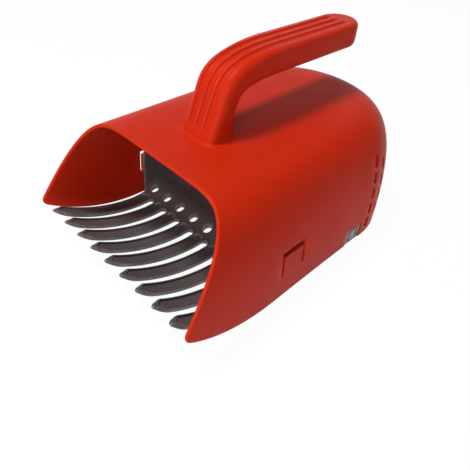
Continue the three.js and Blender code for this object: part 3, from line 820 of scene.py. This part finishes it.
def along_handle(outer, tilt):
    """At each station, the rounding of the long outer edges and the depth of the flutes' press."""
    run = np.concatenate([[0], np.cumsum(np.hypot(*np.diff(outer, axis=0).T))])
    shoulder_run = np.interp(GRIP_TOP - 1, outer[:, 1], run)
    change = (shoulder_run + ROUND_CHANGE[0], shoulder_run + ROUND_CHANGE[1])
    rounding = np.interp(run, change, (POST_ROUND, GRIP_ROUND))
    flute_run = np.interp(hood_top(FOOT_FRONT) + FOOT_LEDGE, outer[:, 1], run) + FLUTE_START
    end_run = run[len(tilt) - np.count_nonzero(tilt) - 1]
    rise = np.clip((run - flute_run) / FLUTE_RUNOUT, 0, 1)
    fall = np.clip((end_run - run) / FLUTE_RUNOUT, 0, 1)
    share = np.minimum(rise, fall)
    return rounding, FLUTE_DEPTH * np.sqrt(share * (2 - share))


def flute_columns():
    """Places across half of the handle's outer face, close together at the flutes' rims."""
    steps = np.array([0, 0.25, 0.5, 0.72, 0.88, 0.97, 1.06]) * FLUTE_HALF
    middle = [0.0] + list(steps[1:]) + [FLUTE_PITCH / 2]
    return middle + [FLUTE_PITCH - s for s in steps[::-1]] + [FLUTE_PITCH + s for s in steps[1:]]


def handle_section(outer, inner, tilt, flare, corner, press):
    """Right half of one section: the fluted face, the rounded edge, the side and the underside."""
    reach = np.append(0, inner - outer)
    depth = np.linalg.norm(reach)
    down = reach / depth
    along = np.array([0, -down[2], down[1]])
    if along[1] < 0 or (abs(along[1]) < 1e-6 and along[2] < 0):
        along = -along
    level, slant = math.cos(tilt), math.sin(tilt)
    half = (GRIP_HALF + flare) * level
    under = UNDER_ROUND + (END_ROUND - UNDER_ROUND) * slant ** 2
    lean = np.array([level, 0, 0]) + slant * along
    start = np.append(0, outer)
    side = start + np.array([half, 0, 0])
    turn = np.linspace(0, math.pi / 2, 7)
    points = []
    for x in flute_columns():
        dip = press * flute_depth(x)
        points.append(start + np.array([x * level, 0, 0]) - corner * slant * along + dip * down)
    for a in turn[::-1]:
        points.append(side - corner * (1 - math.cos(a)) * lean + corner * (1 - math.sin(a)) * down)
    for share in (0.25, 0.5, 0.75):
        points.append(side + (corner + share * (depth - corner - under)) * down)
    for a in turn:
        sink = depth - under * (1 - math.sin(a))
        points.append(side - under * (1 - math.cos(a)) * lean + sink * down)
    base = points[-1]
    for share in (0.66, 0.33, 0.0):
        points.append(np.array([base[0] * share, base[1], base[2]]))
    return points


def handle_mesh():
    """The handle as a loft of rounded sections, with flutes pressed into its outer face."""
    outer, inner = outer_line(), inner_line()
    tilt = np.concatenate([np.zeros(len(outer) - len(END_STATIONS)), np.arcsin(END_STATIONS)])
    flare = foot_flare(outer)
    outer[:, 0] -= flare
    inner[:len(FOOT_STATIONS), 0] += flare[:len(FOOT_STATIONS)]
    stations = zip(outer, inner, tilt, flare, *along_handle(outer, tilt))
    half_rings = np.array([handle_section(*station) for station in stations])
    mirror = half_rings[:, ::-1][:, 1:-1] * np.array([-1, 1, 1])
    rings = np.concatenate([half_rings, mirror], 1)
    count = rings.shape[1]
    faces = []
    for i in range(len(rings) - 1):
        for j in range(count):
            k = (j + 1) % count
            faces.append((i * count + j, i * count + k, (i + 1) * count + k, (i + 1) * count + j))
    faces.append(tuple(range(count - 1, -1, -1)))
    return build_mesh("handle", rings.reshape(-1, 3), faces)


add_piece("grip_handle", handle_mesh(), red_plastic, "hood", "hood_plastic", "handle", corner=50)


# Comb and tray floor
# One dark grey moulding in a tough plastic. Nine curved tines with pencil noses and a shallow pocket
# in each run back to a cross bar with a row of drain holes, then up a ramp to the flat tray floor.

TINE_COUNT = 9
TINE_PITCH = 15.0
MIDDLE_TINE = (TINE_COUNT - 1) / 2
TINE_HALF = 4.8
TINE_TIP = HOOD_FRONT + 1.7
TINE_NOSE = 8.4
TINE_TIP_HALF = 2.0
POINT_HALF = 0.02
TIP_WEIGHT = 1.2
TINE_RADIUS = 114.0
TINE_THICK = 2.6
TINE_LOW = 3.5
ARC_CENTRE = TINE_LOW + TINE_RADIUS
TINE_EDGE = 0.22
TINE_LEAST = 0.25
NOSE_BEVEL = 1.5
NOSE_FACET = (1.8, 0.8)
NOSE_FACET_RISE = 2.2
SLOT_END = TINE_TIP + 72.4
SLOT_HALF = 2.7
SLOT_ROUND = SLOT_END - SLOT_HALF
SLOT_LIP = 0.3
LIP_WIDTH = 0.75
LIP_FADE = 0.4
LIP_START = SLOT_END - 9
POCKET_RIM = 1.0
POCKET_HALF = TINE_HALF - POCKET_RIM
POCKET_FRONT = TINE_TIP + 5.0
POCKET_BACK = SLOT_END + 1.0
POCKET_DEPTH = 1.3
POCKET_DRAFT = 0.3
POCKET_ARROW = (0.7, 0.7)
RAMP_START = SLOT_END - 5.0
RAMP_END = SLOT_END + 18.0
RAMP_EASE = (0.45, 0.55)
FLOOR_TOP = 10.0
FLOOR_UNDER = 7.0
FLOOR_UNDER_SETBACK = 6.0
FLOOR_INSET = 4.0
FLOOR_REAR_POINTS = 49
ROOT_UNDER = 1.2
ROOT_WEB = 5.0
DRAIN_Y = SLOT_END + 7.5
DRAIN_RADIUS = 3.5
DRAIN_REACH = (-4, 16)
DRAIN_SIDES = 32
WALL_FRONT = SLOT_END + 4.0
COMB_SOFTEN = 0.3


def comb_top(y):
    """Height of the comb's upper side: the tines' arc, the ramp, the flat floor."""
    arc = ARC_CENTRE - np.sqrt(TINE_RADIUS ** 2 - (SLOT_END - y) ** 2)
    length = RAMP_END - RAMP_START
    foot = ARC_CENTRE - math.sqrt(TINE_RADIUS ** 2 - (SLOT_END - RAMP_START) ** 2)
    ramp = cubic((RAMP_START, foot), (RAMP_START + length * RAMP_EASE[0], foot),
                 (RAMP_START + length * RAMP_EASE[1], FLOOR_TOP), (RAMP_END, FLOOR_TOP),
                 np.linspace(0, 1, 80))
    rise = np.interp(y, ramp[:, 0], ramp[:, 1])
    return np.where(y < RAMP_START, arc, rise)


def comb_under(y):
    """Height of the comb's underside: under the tines, under the ramp, under the floor."""
    radius = TINE_RADIUS + TINE_THICK
    arc = ARC_CENTRE - np.sqrt(radius ** 2 - (SLOT_END - y) ** 2)
    web = np.interp(y, (DRAIN_Y, RAMP_END), (ROOT_WEB, FLOOR_TOP - FLOOR_UNDER))
    return np.maximum(np.where(y < RAMP_START, arc, comb_top(y) - web), ROOT_UNDER)


def nose_line():
    """Half width of a tine's nose against the distance from its point: a blunt tip, then a swell."""
    blunt = 0.6 * TINE_TIP_HALF
    tip = np.linspace(0, 1, 30)
    swell = quadratic((TINE_TIP_HALF, blunt), (TINE_HALF, TINE_NOSE * 0.45), (TINE_HALF, TINE_NOSE), 60)
    ahead = np.concatenate([blunt * tip ** 2, swell[1:, 1], [TINE_NOSE + 200]])
    half = np.concatenate([TINE_TIP_HALF * tip, swell[1:, 0], [TINE_HALF]])
    return ahead, half


NOSE_AHEAD, NOSE_HALF = nose_line()
NOSE_SLOPE = np.gradient(NOSE_HALF, NOSE_AHEAD)


def tine_outline(y):
    """Half width of a tine in plan: blunt point, swelling nose, straight, then the slot's round end."""
    half = np.interp(y - TINE_TIP, NOSE_AHEAD, NOSE_HALF) + POINT_HALF
    into = np.clip(y - SLOT_ROUND, 0, SLOT_HALF)
    return np.minimum(half + SLOT_HALF - np.sqrt(SLOT_HALF ** 2 - into ** 2), TINE_PITCH / 2)


def edge_distance(x, y):
    """How far a point of the comb lies in from the tine's outline."""
    slope = np.interp(y - TINE_TIP, NOSE_AHEAD, NOSE_SLOPE)
    near = (np.interp(y - TINE_TIP, NOSE_AHEAD, NOSE_HALF) - np.abs(x)) / np.hypot(1, slope)
    near = np.minimum(near, np.maximum(y - TINE_TIP, 0) * TIP_WEIGHT)
    slot = np.hypot(TINE_PITCH / 2 - np.abs(x), y - SLOT_ROUND) - SLOT_HALF
    return np.maximum(np.where(y > SLOT_ROUND, slot, near), 0)


def smooth(value):
    """An S-shaped step from 0 to 1."""
    value = np.clip(value, 0, 1)
    return value * value * (3 - 2 * value)


def edge_drop(distance):
    """How far the rounded edge of a tine falls away, at a distance in from the outline."""
    inside = np.clip(TINE_EDGE - distance, 0, TINE_EDGE)
    return TINE_EDGE - np.sqrt(TINE_EDGE ** 2 - inside ** 2)


def pocket_drop(x, y, distance):
    """Depth of the pocket in a tine's upper face: arrow-shaped in front, round at the back."""
    arrow = np.minimum((y - POCKET_FRONT + POCKET_ARROW[0] - np.abs(x)) * POCKET_ARROW[1],
                       y - POCKET_FRONT)
    core = min(y, POCKET_BACK - POCKET_HALF)
    into = np.minimum(POCKET_HALF - np.hypot(x, y - core), distance - POCKET_RIM)
    return POCKET_DEPTH * smooth(np.minimum(into, arrow) / POCKET_DRAFT + 0.5)


def nose_drop(y, distance):
    """How far the nose's upper face bevels down towards its point and its two sides."""
    share = np.clip((TINE_TIP + TINE_NOSE - y) / TINE_NOSE, 0, 1)
    width, slope = NOSE_FACET
    facet = np.maximum(width * min(share * NOSE_FACET_RISE, 1) - distance, 0) * slope
    return NOSE_BEVEL * share + facet


def slot_lip(y, distance):
    """The low raised lip round the closed end of each slot."""
    near_end = smooth((y - LIP_START) / 3)
    return SLOT_LIP * near_end * (1 - smooth((distance - LIP_WIDTH) / LIP_FADE))


def comb_stations():
    """Y of the rows across the comb, close together where its form changes fast."""
    tip = TINE_TIP + np.array([0, 0.05, 0.2, 0.5, 0.85, 1.2])
    nose = np.linspace(TINE_TIP + 1.6, POCKET_FRONT - 0.4, 8)
    pocket_end = np.arange(POCKET_FRONT - 0.2, POCKET_FRONT + POCKET_HALF + 0.4, 0.16)
    body = np.linspace(TINE_TIP + TINE_NOSE + 0.9, SLOT_ROUND - 1.2, 34)
    slot = SLOT_ROUND + SLOT_HALF * np.sin(np.linspace(0, math.pi / 2, 12))
    back = SLOT_END + np.array([0.4, 0.9, 1.3, 1.8, 2.6, 3.7])
    ramp = np.linspace(SLOT_END + 4.1, RAMP_END, 18)
    return np.concatenate([tip, nose, pocket_end, body, slot, back, ramp])


def tine_columns():
    """Places across one tine as shares of its half width, closest at the edge and the pocket's wall."""
    inset = np.array([0, 0.04, 0.12, 0.23, 0.5, 0.78, 0.88, 0.98, 1.08, 1.2, 1.5, 1.85, 2.2, 2.55,
                      2.9, 3.25, 3.6, 3.95, 4.3, 4.55])
    right = 1 - inset / TINE_HALF
    return np.concatenate([-right, [0], right[::-1]])


def outer_half(y, half):
    """Half width on the comb's outermost sides, which reach out to the tray's wall behind its front."""
    to_wall = hood_half(y) - FLOOR_INSET - MIDDLE_TINE * TINE_PITCH
    return to_wall if y > WALL_FRONT else min(half, TINE_HALF)


def tine_row(tine, y, half, columns):
    """Places across one tine at one Y, with the heights of its upper and lower side there."""
    place = columns * half
    outermost = tine in (0, TINE_COUNT - 1)
    if outermost:
        outside = np.sign(columns) == (-1 if tine == 0 else 1)
        place = np.where(outside, columns * outer_half(y, half), place)
    distance = edge_distance(place, y)
    if outermost and y > SLOT_ROUND:
        free = TINE_HALF - np.abs(place) if y < WALL_FRONT else np.full_like(place, TINE_PITCH)
        distance = np.where(outside, np.maximum(free, 0), distance)
    upper = comb_top(y) - edge_drop(distance) - pocket_drop(place, y, distance)
    upper += slot_lip(y, distance) - nose_drop(y, distance)
    lower = np.minimum(comb_under(y) + edge_drop(distance), upper - TINE_LEAST)
    return place, upper, lower


def tine_faces(tine, top, under, stations):
    """Faces over and under one tine and down its sides, which are left open where it joins the next."""
    rows, width = len(top), len(top[0])
    faces = []
    for i in range(rows - 1):
        for j in range(width - 1):
            faces.append((top[i][j], top[i][j + 1], top[i + 1][j + 1], top[i + 1][j]))
            faces.append((under[i][j], under[i + 1][j], under[i + 1][j + 1], under[i][j + 1]))
        merged = stations[i] >= SLOT_END - 1e-6
        if not (merged and tine > 0):
            faces.append((top[i][0], top[i + 1][0], under[i + 1][0], under[i][0]))
        if not (merged and tine < TINE_COUNT - 1):
            faces.append((top[i][-1], under[i][-1], under[i + 1][-1], top[i + 1][-1]))
    for j in range(width - 1):
        faces.append((top[0][j], under[0][j], under[0][j + 1], top[0][j + 1]))
    return faces


def comb_floor():
    """The comb with its ramp and the flat floor, as one closed mesh."""
    stations = comb_stations()
    columns = tine_columns()
    points, faces = [], []

    def lay(x, y, z):
        points.append((x, y, z))
        return len(points) - 1

    back_top, back_under = [], []
    for tine in range(TINE_COUNT):
        centre = (tine - MIDDLE_TINE) * TINE_PITCH
        top, under = [], []
        for y, half in zip(stations, tine_outline(stations)):
            place, upper, lower = tine_row(tine, y, half, columns)
            top.append([lay(centre + x, y, z) for x, z in zip(place, upper)])
            if y == stations[-1]:
                y += FLOOR_UNDER_SETBACK
                lower = np.full_like(lower, FLOOR_UNDER)
            under.append([lay(centre + x, y, z) for x, z in zip(place, lower)])
        faces += tine_faces(tine, top, under, stations)
        back_top += top[-1][(1 if tine else 0):]
        back_under += under[-1][(1 if tine else 0):]
    rear = [((HOOD_HALF - FLOOR_INSET) * math.cos(angle),
             HOOD_SEAM + (HOOD_REAR - FLOOR_INSET) * math.sin(angle))
            for angle in np.linspace(0, math.pi, FLOOR_REAR_POINTS)]
    rim_top = [lay(x, y, FLOOR_TOP) for x, y in rear]
    rim_under = [lay(x, y, FLOOR_UNDER) for x, y in rear]
    faces.append(tuple(back_top + rim_top))
    faces.append(tuple(rim_under[::-1] + back_under[::-1]))
    for k in range(len(rim_top) - 1):
        faces.append((rim_top[k], rim_under[k], rim_under[k + 1], rim_top[k + 1]))
    faces.append((back_top[-1], back_under[-1], rim_under[0], rim_top[0]))
    faces.append((rim_top[-1], rim_under[-1], back_under[0], back_top[0]))
    return np.array(points), faces


def drain_cutter(x):
    """An upright round cutter for one drain hole."""
    ring = [(x + DRAIN_RADIUS * math.cos(a), DRAIN_Y + DRAIN_RADIUS * math.sin(a))
            for a in np.linspace(0, 2 * math.pi, DRAIN_SIDES, endpoint=False)]
    points = [(px * MM, py * MM, z * MM) for z in DRAIN_REACH for px, py in ring]
    mesh = bpy.data.meshes.new("drain")
    mesh.from_pydata(points, [], prism_faces(DRAIN_SIDES))
    return mesh


PAD_FACE = HOOD_HALF - 0.7
TONGUE_HALF = 3.3
TONGUE_SLIT = 1.7
TONGUE_THICK = 2.0
TONGUE_BOTTOM = 2.4
TONGUE_SWING = 3.0
TONGUE_SLOT_REACH = 3
TONGUE_SLOT_OVER = 0.7


def tongue_slot(side):
    """The room round a tray tongue, cut through the pad, the wall and the floor's edge."""
    near, far = sorted((side * (PAD_FACE - TONGUE_THICK - TONGUE_SWING),
                        side * (HOOD_HALF + TONGUE_SLOT_REACH)))
    reach = TONGUE_HALF + TONGUE_SLIT
    return block_mesh("tongue_slot", (near, NOTCH_CENTRE - reach, TONGUE_BOTTOM - ROOT_SLIT),
                      (far, NOTCH_CENTRE + reach, NOTCH_HEIGHT + TONGUE_SLOT_OVER))


# The lighter worn grey is partly a painted highlight on the tines' rims, and the shaded grey is painted
# shade in pockets and holes.
comb_plastic = plastic(
    "comb_plastic", base=(0.124, 0.105, 0.106), drift=(0.108, 0.091, 0.093), worn_and_lit=(0.34, 0.32, 0.325),
    shaded=(0.014, 0.010, 0.011), roughness=0.23, grain_scale=2600.0, bump=0.10, specular=0.34,
    edge_share=0.9)
openings = [drain_cutter((i - MIDDLE_TINE) * TINE_PITCH) for i in range(TINE_COUNT)]
openings += [tongue_slot(side) for side in (-1, 1)]
comb_mesh = cut_away(build_mesh("comb", *comb_floor()), joined("comb_openings", openings), COMB_SOFTEN)
add_piece("comb_and_floor", comb_mesh, comb_plastic, "tray", "comb_plastic", "comb_tray", corner=18)


# Tray wall
# The upright wall round the floor, in the same grey moulding. It stands up as two tall ears behind
# the hood's tongues, falls to a low rim round the rear and runs down to the ground as a skirt.

TRAY_INSET = 2.9
TRAY_WALL = 2.0
TRAY_RIM = 0.6
TRAY_REAR_TOP = 17.0
TRAY_ROWS = 16
TRAY_SOFTEN = 0.25
EAR_TOP = TAB_BOTTOM + TAB_HEIGHT + BAR_SLIT + 3.0
EAR_CORNER = 4.0
EAR_SLOPE = 22.0


def wall_line():
    """Y and height of the wall's top edge along one side, from the ear's front to the rear's start."""
    turn = np.concatenate([[0], np.linspace(0.42, 1, 7)])
    ear_end = TAB_CENTRE + TAB_WIDTH / 2 + LEG_SLIT
    slope_end = ear_end + EAR_SLOPE
    middle = ear_end + EAR_SLOPE / 2
    corner = np.stack([WALL_FRONT + EAR_CORNER * turn ** 2, EAR_TOP - EAR_CORNER * (1 - turn) ** 2], 1)
    level = straight((WALL_FRONT + EAR_CORNER, EAR_TOP), (ear_end, EAR_TOP), np.linspace(0, 1, 10)[1:])
    slope = cubic((ear_end, EAR_TOP), (middle, EAR_TOP), (middle, TRAY_REAR_TOP),
                  (slope_end, TRAY_REAR_TOP), np.linspace(0, 1, 24)[1:])
    low = straight((slope_end, TRAY_REAR_TOP), (HOOD_SEAM, TRAY_REAR_TOP), np.linspace(0, 1, 20)[1:])
    return np.concatenate([corner, level, slope, low])


def wall_surface():
    """The wall's outer face as a grid of points: right side, rear and left side in one sweep."""
    line = wall_line()
    share = np.linspace(0, 1, TRAY_ROWS + 1)[:, None]
    y, z = np.repeat(line[:, 0][None, :], TRAY_ROWS + 1, 0), share * line[:, 1]
    rear_z = share * TRAY_REAR_TOP
    x = (hood_half(y) - TRAY_INSET) * arch_reach(z / (hood_top(y) - TRAY_INSET))
    x, y = round_the_rear(x, y, arch_reach(rear_z / (hood_top(HOOD_SEAM) - TRAY_INSET)), TRAY_INSET)
    z = np.concatenate([z, np.repeat(rear_z, REAR_COLUMNS - 1, 1), z[:, ::-1]], 1)
    return np.stack([x, y, z], 2)


wall_mesh = thick_sheet("tray_wall", wall_surface(), TRAY_WALL, TRAY_RIM, inset=TRAY_INSET)
tongue_slots = joined("tongue_slots", [tongue_slot(side) for side in (-1, 1)])
wall_mesh = cut_away(wall_mesh, tongue_slots, TRAY_SOFTEN)
add_piece("tray_wall", wall_mesh, comb_plastic, "tray", "comb_plastic")


# Tray pads and tongues
# On each side the skirt thickens to a pad that fills the notch in the hood's rim. A slot round three
# sides leaves a tongue standing in it, which bends at its foot. Part of the same grey moulding.

PAD_HALF = NOTCH_WIDTH / 2 - 0.5
PAD_TOP = NOTCH_HEIGHT - 0.3
PAD_EDGE = 0.35


def rounded_prism(name, outline, x0, x1):
    """A flat outline in side view (Y, Z), swept across from x0 to x1, with its edges rounded."""
    points = [np.array([x, y, z]) for x in (x0, x1) for y, z in outline]
    mesh = build_mesh(name, points, prism_faces(len(outline)))
    round_edges(mesh, PAD_EDGE, 3)
    return mesh


pad_front, pad_back = NOTCH_CENTRE - PAD_HALF, NOTCH_CENTRE + PAD_HALF
slot_front = NOTCH_CENTRE - TONGUE_HALF - TONGUE_SLIT
slot_back = NOTCH_CENTRE + TONGUE_HALF + TONGUE_SLIT
slot_root = TONGUE_BOTTOM - ROOT_SLIT
pad_outline = [(pad_front, 0), (pad_back, 0), (pad_back, PAD_TOP), (slot_back, PAD_TOP),
               (slot_back, slot_root), (slot_front, slot_root), (slot_front, PAD_TOP),
               (pad_front, PAD_TOP)]
tongue_top = PAD_TOP - TONGUE_SLIT
tongue_front, tongue_back = NOTCH_CENTRE - TONGUE_HALF, NOTCH_CENTRE + TONGUE_HALF
tongue_outline = [(tongue_front, TONGUE_BOTTOM), (tongue_back, TONGUE_BOTTOM),
                  (tongue_back, tongue_top), (tongue_front, tongue_top)]
for side, label in ((1, "right"), (-1, "left")):
    pad_mesh = rounded_prism("pad_" + label, pad_outline, side * (HOOD_HALF - FLOOR_INSET),
                             side * PAD_FACE)
    add_piece("tray_pad_" + label, pad_mesh, comb_plastic, "tray", "comb_plastic")
    clip_mesh = rounded_prism("clip_" + label, tongue_outline, side * (PAD_FACE - TONGUE_THICK),
                              side * PAD_FACE)
    add_piece("tray_clip_" + label, clip_mesh, comb_plastic, "tray_tongue_" + label, "comb_plastic",
              "tray_tongue_" + label)
